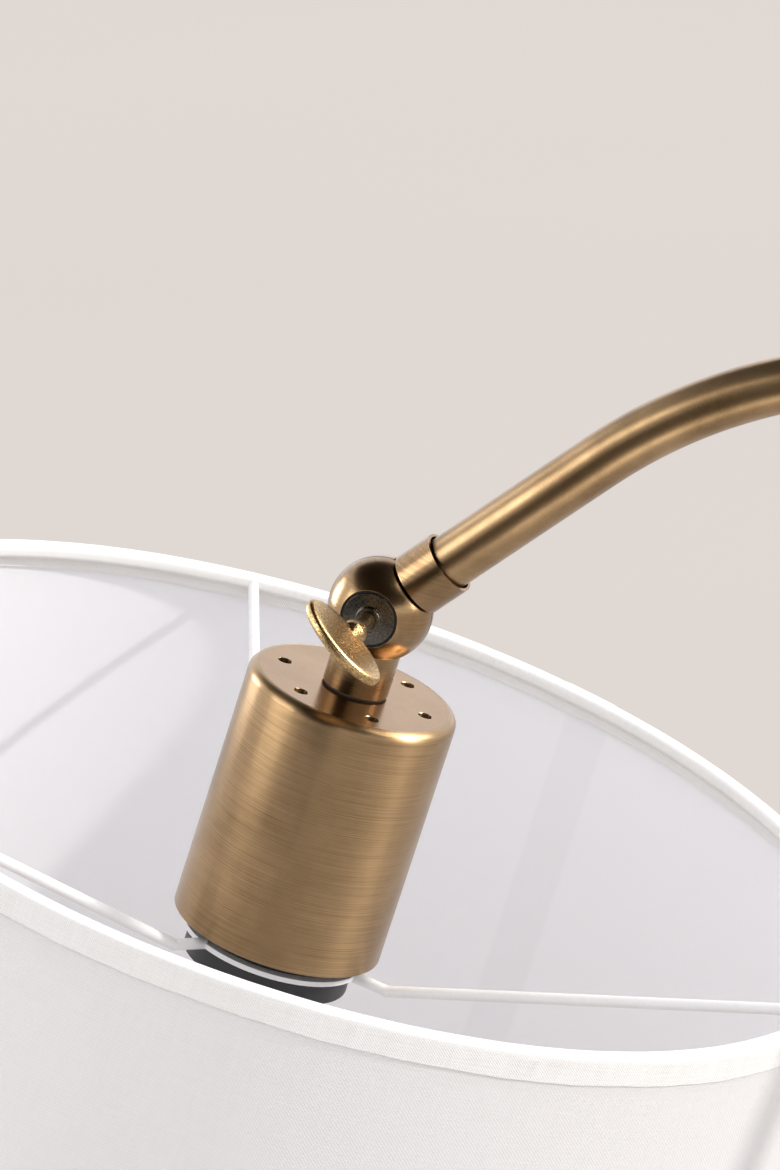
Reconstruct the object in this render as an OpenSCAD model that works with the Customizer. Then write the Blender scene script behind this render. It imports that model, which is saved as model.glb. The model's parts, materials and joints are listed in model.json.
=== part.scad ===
/* [Base] */
// Radius of the round base
base_r = 140; // [110:1:180]
// Height of the base above the floor
base_h = 32; // [30:1:50]
// Rounding of the base cover's upper edge
base_edge_r = 6; // [3:0.5:8]
// Wall of the spun base cover
cover_wall = 1.2; // [0.8:0.1:2]
// Thickness of the felt floor pad
pad_t = 2; // [1:0.5:4]
// How far the floor pad stays inside the cover's skirt
pad_inset = 5; // [3:0.5:10]
// Radius of the recess under the weight, for the nut
recess_r = 24; // [22:1:30]
// Iron left above that recess
recess_roof = 6.4; // [5:0.2:12]
// Height of the supply cord's entry above the floor
cord_entry_z = 7.5; // [7.3:0.1:9]

/* [Pole] */
// Outer radius of the fixed pole
pole_r = 12.5; // [11.5:0.1:16]
// Wall of the fixed pole
pole_wall = 1.5; // [1:0.1:2]
// Length of each of the two fixed pole tubes
pole_section_l = 480; // [360:5:580]
// Outer radius of the sliding inner pole
inner_pole_r = 9.5; // [9:0.1:9.9]
// Wall of the sliding inner pole
inner_pole_wall = 1.5; // [1:0.1:2]
// Length of the inner pole
inner_pole_l = 322; // [260:2:400]
// Length of inner pole that stands out of the fixed pole at rest
inner_pole_out = 122; // [110:1:140]
// Outer radius of the clamp collar on the pole
pole_collar_r = 17; // [16.5:0.1:21]
// Height of the clamp collar
pole_collar_h = 40; // [34:1:50]

/* [Arm] */
// Outer diameter of the bent arm tube
tube_d = 16; // [13:0.5:19.5]
// Wall of the arm tube
tube_wall = 1.2; // [0.8:0.1:2]
// Radius of the big bow, on the tube's centre line
bow_r = 450; // [370:5:560]
// Radius of the tighter bend near the head
tip_r = 160; // [120:5:200]
// Angle below level at which the arm reaches the knuckle
arm_drop = 36.4; // [25:0.1:45]
// Straight length from that bend to the knuckle's centre
tip_straight = 80; // [60:1:110]
// Straight length of tube above its foot ferrule
arm_shank_l = 3; // [1:1:40]

/* [Knuckle] */
// Radius of the ball-shaped knuckle
ball_r = 15.3; // [13.5:0.1:19]
// Seam between the two halves of the ball
seam = 0.6; // [0.4:0.1:1]
// Wall of each hollow half
ball_wall = 3.3; // [2.5:0.1:4]
// Radius of the collar that holds the arm tube, beyond the tube
collar_over = 1.55; // [1.3:0.05:2.5]
// Length of the collar past the clearance round the ball
collar_l = 9; // [8:0.1:15]
// Gap between a neck and the other half of the ball
neck_gap = 1; // [0.6:0.1:1.4]
// Radius of the stem that carries the socket cup
stem_r = 9.75; // [8:0.05:11]
// Distance from the ball's centre to the stem's lower end
stem_reach = 24.7; // [23:0.1:32]
// Radius of the dark clamp disc
disc_r = 8.3; // [7:0.1:8.6]

/* [Thumb screws] */
// Radius of the screw's shank
screw_r = 2.4; // [2:0.1:3]
// Length of the leaf-shaped wing, across the screw
wing_l = 30; // [24:1:36]
// Width of the wing, along the screw
wing_w = 19; // [14:1:22]
// Thickness of the wing
wing_t = 3.2; // [2.4:0.1:4]
// Distance from the knuckle's centre to the wing's centre
wing_reach = 39; // [36:1:46]
// Turn of the wing at rest
wing_turn = -48.5; // [-90:0.5:90]

/* [Head] */
// Lean of the head's axis from upright, towards the pole
head_lean = 17.7; // [0:0.1:30]
// Outer radius of the socket cup
cup_r = 31.25; // [28:0.25:38]
// Length of the socket cup
cup_l = 78; // [66:1:90]
// Rounding of the cup's upper edge
cup_edge_r = 3; // [1:0.5:5]
// Side wall of the cup
cup_wall = 1.2; // [0.8:0.1:2]
// Thickness of the cup's top
cup_top_t = 2; // [1.5:0.1:3]
// Number of vent holes in the cup's top
vent_count = 6; // [4:1:8]
// Radius of a vent hole
vent_r = 2; // [1.5:0.1:2.5]
// Radius of the circle that the vent holes lie on
vent_circle_r = 22; // [19:0.5:24]
// Outer radius of the lampholder's body
holder_r = 19.8; // [18.6:0.1:23]
// Inner radius of the lampholder's screw shell
shell_r = 13.4; // [13.3:0.05:13.5]

/* [Shade] */
// Outer radius of the shade at its top
shade_top_r = 165; // [135:1:200]
// Outer radius of the shade at its bottom
shade_bottom_r = 171; // [135:1:210]
// Height of the shade along its axis
shade_h = 220; // [180:5:270]
// Thickness of the shade's stiffened fabric
fabric_t = 1; // [0.6:0.1:1.5]
// Distance from the cup's top down to the shade's rim
shade_drop = 31; // [20:1:45]
// Radius of the shade's ring wires
ring_wire_r = 1.6; // [1.2:0.1:2.2]
// Radius of the three spider arms
arm_wire_r = 1.7; // [1.2:0.1:2.4]
// Direction of the first spider arm around the head's axis
spider_turn = 115; // [0:1:119]
// Depth of the tape wrapped over each rim
tape_h = 8; // [5:0.5:12]
// Thickness of the tape
tape_t = 0.4; // [0.3:0.1:0.8]

/* [Bulb] */
// Radius of the round bulb
bulb_r = 30; // [22:1:36]
// Length of the bulb with its cap
bulb_l = 100; // [88:1:108]

/* [Hidden] */
$fn = 96;
BOW_FN = 180;
ARC_STEPS = 6;
RUN_FIT = 0.05;
GAP = 0.3;
SKIN = 0.1;
LAP = 1;
STEP = 0.01;
HEX = 6;
HALF = 0.5;
BIG = 400;

brass = "#b8935a";
brass_dark = "#4a3526";
steel = "#9a9a9c";
iron = "#3a3a3c";
nylon = "#e8e4da";
white = "#f4f1ea";
black = "#1d1d1f";
ceramic = "#ece8dc";
glass = "#f6f2e6";
felt = "#2c2b2a";

// Base stack, from the floor up
weight_r = base_r - base_edge_r - GAP;
weight_top = base_h - cover_wall;
recess_top = weight_top - recess_roof;
skirt_z = pad_t * HALF;
stud_r = 5;
stud_bore_r = 3.7;
nut_r = 9.2;
nut_h = 5;
washer_t = 1.6;
washer_r = 11;
nut_top = recess_top - washer_t;
stud_z = nut_top - nut_h - SKIN;
lead_r = 3;
lead_bend_r = 12;
channel_half_w = 5;
channel_clear = 1;
gland_body_r = 4.6;
gland_bore_r = 3.4;
gland_flange_r = 5.2;
gland_flange_t = 2.4;
gland_l = 16;
earth_y = 17;
earth_screw_r = 2;
earth_head_r = 4;
earth_head_h = 2.6;
earth_depth = 4;
tag_r = 4.6;
tag_t = 0.8;

// Foot, pole tubes and coupler
foot_r = 34;
foot_h = 24;
foot_lip_h = 4;
foot_neck_over = 3.2;
pole_z = base_h;
plug_l = 30;
stud_top = pole_z + plug_l - 4;
pole_bore_r = pole_r - pole_wall;
coupler_z = pole_z + pole_section_l;
coupler_ring_h = 6;
coupler_over = 0.8;
coupler_spigot_l = 30;
coupler_bore_r = 7;
upper_pole_z = coupler_z + coupler_ring_h;
pole_top = upper_pole_z + pole_section_l;
collar_lip_h = 16;
collar_bore_gap = 0.4;
pole_collar_z = pole_top + collar_lip_h - pole_collar_h;
pole_collar_chamfer = 1.5;
collar_boss_r = 6;
collar_boss_end = pole_collar_r + 6;
height_screw_z = pole_top + collar_lip_h * HALF;
height_pad_l = 2.4;
glide_l = 24;
glide_flange_t = 1.2;

// Inner pole and the swivel on its top
inner_top = pole_top + inner_pole_out;
inner_bottom = inner_top - inner_pole_l;
socket_r = 13;
socket_lap = 22;
socket_web_h = 18;
socket_z = inner_top - socket_lap;
socket_top = inner_top + socket_web_h;
socket_chamfer = 1;
spigot_r = 7;
spigot_l = 24;
groove_r = 5.8;
groove_h = 4.8;
groove_z = inner_top + 8;
retainer_r = 2;
swivel_washer_t = 1;
ferrule_z = socket_top + swivel_washer_t + RUN_FIT;
ferrule_h = 31;
ferrule_floor = 9;
ferrule_top_over = 2.5;
ferrule_straight = 8;
lead_hole_r = 3.5;
arm_foot_z = ferrule_z + ferrule_floor;
bow_z = ferrule_z + ferrule_h + arm_shank_l;

// Arm: the tube's centre line
tube_r = tube_d * HALF;
tube_bore_r = tube_r - tube_wall;
arm_lead_r = 2.75;
apex = [-bow_r, 0, bow_z + bow_r];
tip_end = apex + tip_r * [-sin(arm_drop), 0, cos(arm_drop) - 1];
ball = tip_end - tip_straight * [cos(arm_drop), 0, sin(arm_drop)];

// Knuckle
collar_r = tube_r + collar_over;
collar_wall = 0.85;
collar_recess_depth = 5.5;
neck_cut_r = ball_r + neck_gap;
tube_stop = neck_cut_r + 1;
collar_top = neck_cut_r + collar_l;
cavity_r = ball_r - ball_wall;
cavity_depth = ball_r * 0.6;
boss_r = 5.5;
disc_pocket_depth = 2.2;
disc_pocket_r = disc_r + 0.22;
disc_face = sqrt(ball_r * ball_r - disc_pocket_r * disc_pocket_r);
disc_t = 2;
disc_boss_r = 3.7;
disc_boss_h = 1.2;
insert_r = 4.4;
insert_l = 8;
screw_tip = 7.5;
friction_t = seam - RUN_FIT;
lead_offset = 4.2;
knuckle_lead_r = 2.2;
nipple_bore_r = 3.6;
nipple_top = -neck_cut_r;

// Thumb screw details
shoulder_r = 3.7;
shoulder_l = 4;
shoulder_edge_r = 1.2;
wing_core_share = 0.5;
wing_bevel = 0.9;

// Head stack, measured down the head's axis from the ball's centre
stem_washer_t = 0.8;
stem_washer_inset = 0.5;
cup_top = -stem_reach - stem_washer_t;
cup_mouth = cup_top - cup_l;
locknut_r = 8.5;
locknut_h = 4;
locknut_top = cup_top - cup_top_t;
cap_rise = 53.5;
cap_top = cup_mouth + cap_rise;
cap_neck_r = 8.5;
cap_neck_h = 5;
cap_h = 26;
cap_wall = 2;
cap_edge_r = 4;
cap_lap = 6;
cap_bottom = cap_top - cap_h;
nipple_bottom = cap_top - cap_neck_h;
flange_over = 4;
flange_t = 2.4;
flange_top = cup_mouth - 1.2;
fitter_t = 1.5;
fitter_top = flange_top - flange_t;
fitter_bore_gap = 0.25;
fitter_w = 7;
ring_nut_over = 5;
ring_nut_h = 7;
ring_nut_top = fitter_top - fitter_t;
holder_end = ring_nut_top - ring_nut_h - 1;
shell_wall = 0.5;
shell_gap = 0.6;
block_t = 8;
block_top = cap_bottom + cap_lap - SKIN;
block_bottom = block_top - block_t;
block_r = shell_r + shell_wall + shell_gap - SKIN;
terminal_x = 8;
terminal_screw_r = 1.8;
terminal_head_r = 3;
terminal_head_h = 2;
contact_w = 6;
contact_t = 0.6;
contact_drop = 4;
contact_l = 8;
shell_top = block_bottom - 1.2;
shell_bottom = holder_end + 1.4;

// Bulb
bulb_tip = block_bottom - contact_drop - contact_t - SKIN;
bulb_cap_r = 13.1;
bulb_cap_l = 26;
bulb_skirt_l = 3;
bulb_button_r = 5;
bulb_neck_r = bulb_cap_r;
bulb_glass_t = 0.9;
bulb_centre = bulb_tip - bulb_l + bulb_r;
bulb_neck_z = bulb_tip - bulb_cap_l;
bulb_flare_z = min(bulb_neck_z - 4, holder_end - SKIN);

// Shade
rim_z = cup_top - shade_drop;
hem_z = rim_z - shade_h;
shade_slope = (shade_bottom_r - shade_top_r) / shade_h;
ring_inset = fabric_t + ring_wire_r + SKIN;
top_ring_r = shade_top_r - ring_inset + shade_slope * ring_wire_r;
top_ring_z = rim_z - ring_wire_r - SKIN;
bottom_ring_r = shade_bottom_r - ring_inset - shade_slope * ring_wire_r;
bottom_ring_z = hem_z + ring_wire_r + SKIN;
tape_in = 2 * ring_wire_r + fabric_t + 3 * SKIN;
SPIDER_ARMS = 3;
spider_inner_r = holder_r + fitter_bore_gap + fitter_w * HALF;
spider_z = fitter_top - fitter_t * HALF;
spider_rise_r = spider_inner_r + 14;

// Points of a round stretch of an outline, from angle a0 to a1
function arc(cx, cy, r, a0, a1) =
    [for (i = [0:ARC_STEPS]) let (a = a0 + (a1 - a0) * i / ARC_STEPS) [cx + r * cos(a), cy + r * sin(a)]];

// Radius of the shade's outer face at a height on the head's axis
function shade_r(z) = shade_top_r + shade_slope * (rim_z - z);

// Direction of a spider arm around the head's axis
function spider_angle(i) = spider_turn + i * 360 / SPIDER_ARMS;

// A straight tube that stands on z
module tube(z, h, r, bore_r) {
    translate([0, 0, z]) difference() {
        cylinder(r = r, h = h);
        translate([0, 0, -SKIN]) cylinder(r = bore_r, h = h + 2 * SKIN);
    }
}

// A round rod between two points
module rod(from, to, r) {
    d = to - from;
    l = norm(d);
    translate(from) rotate([0, acos(d.z / l), atan2(d.y, d.x)]) cylinder(r = r, h = l);
}

// The half of space behind (side 1) or in front of (side -1) the ball's seam
module seam_half(side) {
    translate([-BIG * HALF, side > 0 ? seam * HALF : -seam * HALF - BIG, -BIG * HALF]) cube(BIG);
}

// The head's own frame: origin in the ball, +Z up the head's axis
module at_head() {
    translate(ball) rotate([0, head_lean, 0]) children();
}

// The arm end's frame: origin in the ball, +Z back along the arm
module at_arm_end() {
    translate(ball) rotate([0, 90 - arm_drop, 0]) children();
}

// The pivot's frame: origin in the ball, +Z along the pivot towards the wing
module at_pivot() {
    translate(ball) rotate([90, 0, 0]) children();
}

// Flat round section, hollow when bore_r is above zero
module section(r, bore_r) {
    difference() {
        circle(r);
        if (bore_r > 0) circle(bore_r);
    }
}

// Sweeps a round section along the arm's centre line; the last run laps the bend by a hair-thin step
module arm_sweep(foot_z, stop, r, bore_r) {
    translate([0, 0, foot_z]) linear_extrude(bow_z - foot_z) section(r, bore_r);
    translate([-bow_r, 0, bow_z]) rotate([90, 0, 0])
        rotate_extrude(angle = 90, $fn = BOW_FN) translate([bow_r, 0]) section(r, bore_r);
    translate(apex - [0, 0, tip_r]) rotate([90, 0, 0]) rotate([0, 0, 90])
        rotate_extrude(angle = arm_drop, $fn = BOW_FN) translate([tip_r, 0]) section(r, bore_r);
    translate(tip_end) rotate([0, -90 - arm_drop, 0]) translate([0, 0, -LAP])
        linear_extrude(tip_straight - stop + LAP) section(r + STEP, bore_r - STEP);
}

// Leaf-shaped outline of the wing, inset all round
module wing_outline(inset) {
    half_w = wing_w * HALF - inset;
    half_l = wing_l * HALF + wing_t - inset;
    side_r = (half_l * half_l + half_w * half_w) / (2 * half_w);
    intersection() {
        translate([0, side_r - half_w]) circle(side_r);
        translate([0, half_w - side_r]) circle(side_r);
        circle(wing_l * HALF - inset);
    }
}

// Wing screw along +Z: its tip, and the wing's centre
module wing_screw(tip, centre) {
    wing_z = centre - wing_w * HALF;
    shoulder_z = wing_z - shoulder_l;
    translate([0, 0, tip]) cylinder(r = screw_r, h = centre - tip);
    rotate_extrude() polygon(concat(
        [[0, shoulder_z]],
        arc(shoulder_r - shoulder_edge_r, shoulder_z + shoulder_edge_r, shoulder_edge_r, -90, 0),
        [[shoulder_r, wing_z + shoulder_edge_r], [0, wing_z + shoulder_r + shoulder_edge_r]]
    ));
    translate([0, 0, centre]) rotate([90, 0, 0]) {
        linear_extrude(wing_t * wing_core_share, center = true) wing_outline(0);
        linear_extrude(wing_t, center = true) wing_outline(wing_bevel);
    }
}

module floor_pad() {
    color(felt) cylinder(r = base_r - pad_inset, h = pad_t);
}

module base_weight() {
    color(iron) difference() {
        translate([0, 0, pad_t]) cylinder(r = weight_r, h = weight_top - pad_t);
        translate([0, 0, pad_t - SKIN]) cylinder(r = recess_r, h = recess_top - pad_t + SKIN);
        cylinder(r = stud_r + GAP, h = base_h);
        translate([0, -channel_half_w, pad_t - SKIN])
            cube([base_r, 2 * channel_half_w, cord_entry_z + gland_body_r + channel_clear - pad_t]);
        translate([0, earth_y, recess_top - SKIN]) cylinder(r = earth_screw_r, h = earth_depth + SKIN);
    }
}

module base_cover() {
    inner_edge_r = base_edge_r - cover_wall;
    edge_z = base_h - base_edge_r;
    color(brass) difference() {
        rotate_extrude() polygon(concat(
            [[stud_r + GAP, base_h]],
            arc(base_r - base_edge_r, edge_z, base_edge_r, 90, 0),
            [[base_r, skirt_z], [base_r - cover_wall, skirt_z]],
            arc(base_r - base_edge_r, edge_z, inner_edge_r, 0, 90),
            [[stud_r + GAP, weight_top]]
        ));
        translate([base_r * HALF, 0, cord_entry_z]) rotate([0, 90, 0]) cylinder(r = gland_body_r, h = base_r);
    }
}

module base_washer() {
    color(steel) tube(nut_top, washer_t, washer_r, stud_r + GAP);
}

module base_nut() {
    color(steel) translate([0, 0, nut_top - nut_h]) difference() {
        cylinder(r = nut_r, h = nut_h, $fn = HEX);
        translate([0, 0, -SKIN]) cylinder(r = stud_r, h = nut_h + 2 * SKIN);
    }
}

module base_stud() {
    color(steel) tube(stud_z, stud_top - stud_z, stud_r, stud_bore_r);
}

module cord_gland() {
    color(black) translate([base_r, 0, cord_entry_z]) rotate([0, 90, 0]) difference() {
        union() {
            cylinder(r = gland_flange_r, h = gland_flange_t);
            translate([0, 0, -gland_l]) cylinder(r = gland_body_r, h = gland_l + SKIN);
        }
        translate([0, 0, -gland_l - SKIN]) cylinder(r = gland_bore_r, h = gland_l + gland_flange_t + 2 * SKIN);
    }
}

module earth_screw() {
    color(steel) translate([0, earth_y, recess_top - tag_t - earth_head_h]) {
        cylinder(r = earth_head_r, h = earth_head_h);
        cylinder(r = earth_screw_r, h = earth_head_h + tag_t + earth_depth - 1);
    }
}

module earth_tag() {
    color(brass) translate([0, earth_y, 0]) tube(recess_top - tag_t, tag_t, tag_r, earth_screw_r);
}

module base_lead() {
    lead_start = base_r - gland_l - 1;
    color(black) {
        translate([lead_bend_r, 0, cord_entry_z]) rotate([0, 90, 0])
            cylinder(r = lead_r, h = lead_start - lead_bend_r);
        translate([lead_bend_r, 0, cord_entry_z + lead_bend_r]) rotate([90, 0, 0]) rotate([0, 0, 180])
            rotate_extrude(angle = 90) translate([lead_bend_r, 0]) circle(lead_r);
        translate([0, 0, cord_entry_z + lead_bend_r])
            cylinder(r = lead_r, h = stud_top - cord_entry_z - lead_bend_r);
    }
}

module pole_foot() {
    neck_r = pole_r + foot_neck_over;
    cove_r = foot_h - foot_lip_h - pole_wall;
    color(brass) translate([0, 0, pole_z]) rotate_extrude() polygon(concat(
        [[pole_r, 0], [foot_r, 0], [foot_r, foot_lip_h]],
        arc(neck_r + cove_r, foot_lip_h + cove_r, cove_r, 270, 180),
        [[neck_r, foot_h], [pole_r, foot_h]]
    ));
}

module pole_plug() {
    color(steel) tube(pole_z, plug_l, pole_bore_r, stud_r);
}

module lower_pole() {
    color(brass) tube(pole_z, pole_section_l, pole_r, pole_bore_r);
}

module pole_coupler() {
    color(brass) difference() {
        union() {
            translate([0, 0, coupler_z]) cylinder(r = pole_r + coupler_over, h = coupler_ring_h);
            translate([0, 0, coupler_z - coupler_spigot_l])
                cylinder(r = pole_bore_r, h = 2 * coupler_spigot_l + coupler_ring_h);
        }
        translate([0, 0, coupler_z - coupler_spigot_l - SKIN])
            cylinder(r = coupler_bore_r, h = 2 * coupler_spigot_l + coupler_ring_h + 2 * SKIN);
    }
}

module upper_pole() {
    color(brass) tube(upper_pole_z, pole_section_l, pole_r, pole_bore_r);
}

module pole_collar() {
    top = pole_top + collar_lip_h;
    color(brass) difference() {
        union() {
            rotate_extrude() polygon([
                [inner_pole_r + collar_bore_gap, pole_top],
                [pole_r, pole_top],
                [pole_r, pole_collar_z],
                [pole_collar_r - pole_collar_chamfer, pole_collar_z],
                [pole_collar_r, pole_collar_z + pole_collar_chamfer],
                [pole_collar_r, top - pole_collar_chamfer],
                [pole_collar_r - pole_collar_chamfer, top],
                [inner_pole_r + collar_bore_gap, top]
            ]);
            translate([0, -pole_r, height_screw_z]) rotate([90, 0, 0])
                cylinder(r = collar_boss_r, h = collar_boss_end - pole_r);
        }
        translate([0, 0, height_screw_z]) rotate([90, 0, 0])
            cylinder(r = screw_r + RUN_FIT, h = collar_boss_end + 1);
    }
}

module upper_glide() {
    color(nylon) tube(pole_top - glide_l, glide_l, pole_bore_r, inner_pole_r + RUN_FIT);
}

module height_pad() {
    color(nylon) translate([0, 0, height_screw_z]) rotate([90, 0, 0])
        translate([0, 0, inner_pole_r + GAP]) cylinder(r = screw_r, h = height_pad_l);
}

module height_screw() {
    tip = inner_pole_r + GAP + height_pad_l + SKIN;
    centre = collar_boss_end + wing_reach - disc_face - collar_boss_r;
    color(brass) translate([0, 0, height_screw_z]) rotate([90, 0, 0]) wing_screw(tip, centre);
}

module inner_pole() {
    color(brass) tube(inner_bottom, inner_pole_l, inner_pole_r, inner_pole_r - inner_pole_wall);
}

module lower_glide() {
    color(nylon) difference() {
        translate([0, 0, inner_bottom - glide_flange_t]) cylinder(r = pole_bore_r - RUN_FIT, h = glide_l);
        translate([0, 0, inner_bottom]) cylinder(r = inner_pole_r, h = glide_l);
        translate([0, 0, inner_bottom - glide_l]) cylinder(r = coupler_bore_r, h = 2 * glide_l);
    }
}

module swivel_socket() {
    color(brass) difference() {
        rotate_extrude() polygon([
            [inner_pole_r, socket_z],
            [socket_r - socket_chamfer, socket_z],
            [socket_r, socket_z + socket_chamfer],
            [socket_r, socket_top],
            [spigot_r + RUN_FIT, socket_top],
            [spigot_r + RUN_FIT, inner_top],
            [inner_pole_r, inner_top]
        ]);
        translate([0, 0, groove_z]) rotate([-90, 0, 0]) cylinder(r = retainer_r, h = socket_r + 1);
    }
}

module swivel_washer() {
    color(nylon) tube(socket_top, swivel_washer_t, socket_r - socket_chamfer, spigot_r + GAP);
}

module swivel_retainer() {
    color(steel) translate([0, 0, groove_z]) rotate([-90, 0, 0])
        translate([0, 0, groove_r + GAP]) cylinder(r = retainer_r, h = socket_r - GAP - groove_r - GAP);
}

module arm_ferrule() {
    top_r = tube_r + ferrule_top_over;
    top = ferrule_z + ferrule_h;
    spigot_end = ferrule_z - spigot_l;
    color(brass) rotate_extrude() polygon([
        [lead_hole_r, spigot_end],
        [spigot_r, spigot_end],
        [spigot_r, groove_z - groove_h * HALF],
        [groove_r, groove_z - groove_h * HALF],
        [groove_r, groove_z + groove_h * HALF],
        [spigot_r, groove_z + groove_h * HALF],
        [spigot_r, ferrule_z],
        [socket_r, ferrule_z],
        [socket_r, ferrule_z + ferrule_straight],
        [top_r, top - socket_chamfer],
        [top_r - socket_chamfer, top],
        [tube_r, top],
        [tube_r, arm_foot_z],
        [lead_hole_r, arm_foot_z]
    ]);
}

module arm_tube() {
    color(brass) arm_sweep(arm_foot_z, tube_stop, tube_r, tube_bore_r);
}

module arm_lead() {
    color(black) arm_sweep(arm_foot_z + 1, tube_stop + 1, arm_lead_r, 0);
}

// Hollow inside one half of the ball, round the pivot's boss
module ball_cavity(side) {
    intersection() {
        difference() {
            sphere(cavity_r);
            rotate([90, 0, 0]) cylinder(r = boss_r, h = BIG, center = true);
        }
        translate([-BIG * HALF, side > 0 ? 0 : -cavity_depth, -BIG * HALF]) cube([BIG, cavity_depth, BIG]);
    }
}

// A neck along +Z that clears the other half of the ball
module ball_neck(r, end, side, lean) {
    start = sqrt(ball_r * ball_r - r * r) + neck_gap;
    rotate([0, lean, 0]) difference() {
        translate([0, 0, start]) cylinder(r = r, h = end - start);
        sphere(neck_cut_r);
    }
    intersection() {
        rotate([0, lean, 0]) cylinder(r = r, h = end - 1);
        seam_half(side);
    }
}

module knuckle_arm_half() {
    recess_z = collar_top - collar_recess_depth;
    color(brass) translate(ball) difference() {
        union() {
            intersection() {
                sphere(ball_r);
                seam_half(1);
            }
            ball_neck(collar_r, collar_top, 1, 90 - arm_drop);
        }
        ball_cavity(1);
        rotate([-90, 0, 0]) cylinder(r = insert_r, h = insert_l + seam);
        rotate([0, 90 - arm_drop, 0]) {
            translate([0, 0, tube_stop]) cylinder(r = tube_r + STEP, h = collar_top);
            translate([0, 0, recess_z]) cylinder(r = collar_r - collar_wall, h = collar_top);
            translate([0, lead_offset, 0]) cylinder(r = knuckle_lead_r, h = collar_top);
        }
    }
}

module pivot_insert() {
    color(steel) translate(ball) rotate([-90, 0, 0])
        tube(seam * HALF, insert_l + seam * HALF, insert_r, screw_r + RUN_FIT);
}

module friction_washer() {
    color(nylon) translate(ball) rotate([-90, 0, 0])
        tube(-seam * HALF + RUN_FIT, friction_t, boss_r, screw_r + RUN_FIT);
}

module knuckle_head_half() {
    color(brass) translate(ball) difference() {
        union() {
            intersection() {
                sphere(ball_r);
                seam_half(-1);
                translate([-BIG * HALF, -disc_face, -BIG * HALF]) cube(BIG);
            }
            ball_neck(stem_r, stem_reach, -1, 180 + head_lean);
        }
        ball_cavity(-1);
        rotate([90, 0, 0]) {
            translate([0, 0, disc_face - disc_pocket_depth]) cylinder(r = disc_pocket_r - SKIN, h = ball_r);
            cylinder(r = screw_r + RUN_FIT, h = ball_r);
        }
        rotate([0, 180 + head_lean, 0]) {
            translate([0, 0, -nipple_top]) cylinder(r = stud_r, h = stem_reach);
            translate([0, -lead_offset, 0]) cylinder(r = knuckle_lead_r, h = stem_reach);
        }
    }
}

module clamp_disc() {
    face = disc_face + SKIN;
    color(brass_dark) at_pivot() difference() {
        union() {
            translate([0, 0, face - disc_t]) cylinder(r = disc_r, h = disc_t);
            translate([0, 0, face - SKIN]) cylinder(r = disc_boss_r, h = disc_boss_h + SKIN);
        }
        cylinder(r = screw_r + RUN_FIT, h = ball_r * 2);
    }
}

module thumb_screw() {
    color(brass) at_pivot() rotate([0, 0, wing_turn]) wing_screw(-screw_tip, wing_reach);
}

module stem_washer() {
    color(black) at_head() tube(cup_top, stem_washer_t, stem_r - stem_washer_inset, stud_r);
}

module socket_cup() {
    edge_z = cup_top - cup_edge_r;
    inner_r = cup_r - cup_wall;
    inner_edge_r = max(cup_edge_r - cup_wall, SKIN);
    inner_top = cup_top - cup_top_t;
    color(brass) at_head() difference() {
        rotate_extrude() polygon(concat(
            [[stud_r, cup_top]],
            arc(cup_r - cup_edge_r, edge_z, cup_edge_r, 90, 0),
            [[cup_r, cup_mouth], [inner_r, cup_mouth]],
            arc(inner_r - inner_edge_r, inner_top - inner_edge_r, inner_edge_r, 0, 90),
            [[stud_r, inner_top]]
        ));
        for (i = [0:vent_count - 1])
            rotate([0, 0, i * 360 / vent_count]) translate([vent_circle_r, 0, inner_top - 1])
                cylinder(r = vent_r, h = cup_top_t + 2);
    }
}

module cup_nipple() {
    color(steel) at_head() tube(nipple_bottom, nipple_top - nipple_bottom, stud_r, nipple_bore_r);
}

module cup_locknut() {
    color(steel) at_head() translate([0, 0, locknut_top - locknut_h]) difference() {
        cylinder(r = locknut_r, h = locknut_h, $fn = HEX);
        translate([0, 0, -SKIN]) cylinder(r = stud_r, h = locknut_h + 2 * SKIN);
    }
}

module head_lead() {
    lead_top = nipple_top - 1;
    color(black) at_head() translate([0, 0, nipple_bottom - cap_lap])
        cylinder(r = arm_lead_r, h = lead_top - nipple_bottom + cap_lap);
}

module lampholder_cap() {
    inner_r = holder_r - cap_wall;
    shoulder_z = cap_top - cap_neck_h;
    color(black) at_head() rotate_extrude() polygon(concat(
        [[stud_r, cap_top], [cap_neck_r, cap_top], [cap_neck_r, shoulder_z]],
        arc(holder_r - cap_edge_r, shoulder_z - cap_edge_r, cap_edge_r, 90, 0),
        [[holder_r, cap_bottom], [inner_r, cap_bottom], [inner_r, shoulder_z - cap_wall - cap_edge_r]],
        [[inner_r - cap_edge_r, shoulder_z - cap_wall], [stud_r, shoulder_z - cap_wall]]
    ));
}

module lampholder_body() {
    inner_r = shell_r + shell_wall + shell_gap;
    lap_r = holder_r - cap_wall - SKIN;
    color(black) at_head() rotate_extrude() polygon([
        [inner_r, cap_bottom + cap_lap],
        [lap_r, cap_bottom + cap_lap],
        [lap_r, cap_bottom - SKIN],
        [holder_r, cap_bottom - SKIN],
        [holder_r, flange_top],
        [holder_r + flange_over, flange_top],
        [holder_r + flange_over, fitter_top],
        [holder_r, fitter_top],
        [holder_r, holder_end],
        [inner_r, holder_end]
    ]);
}

module terminal_block() {
    color(ceramic) at_head() difference() {
        translate([0, 0, block_bottom]) cylinder(r = block_r, h = block_t);
        for (side = [-1, 1])
            translate([side * terminal_x, 0, block_top - terminal_head_h * 2])
                cylinder(r = terminal_screw_r, h = block_t);
    }
}

module terminal_screws() {
    color(brass) at_head() for (side = [-1, 1]) translate([side * terminal_x, 0, block_top]) {
        translate([0, 0, SKIN]) cylinder(r = terminal_head_r, h = terminal_head_h);
        translate([0, 0, SKIN - 2 * terminal_head_h]) cylinder(r = terminal_screw_r, h = 2 * terminal_head_h);
    }
}

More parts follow.
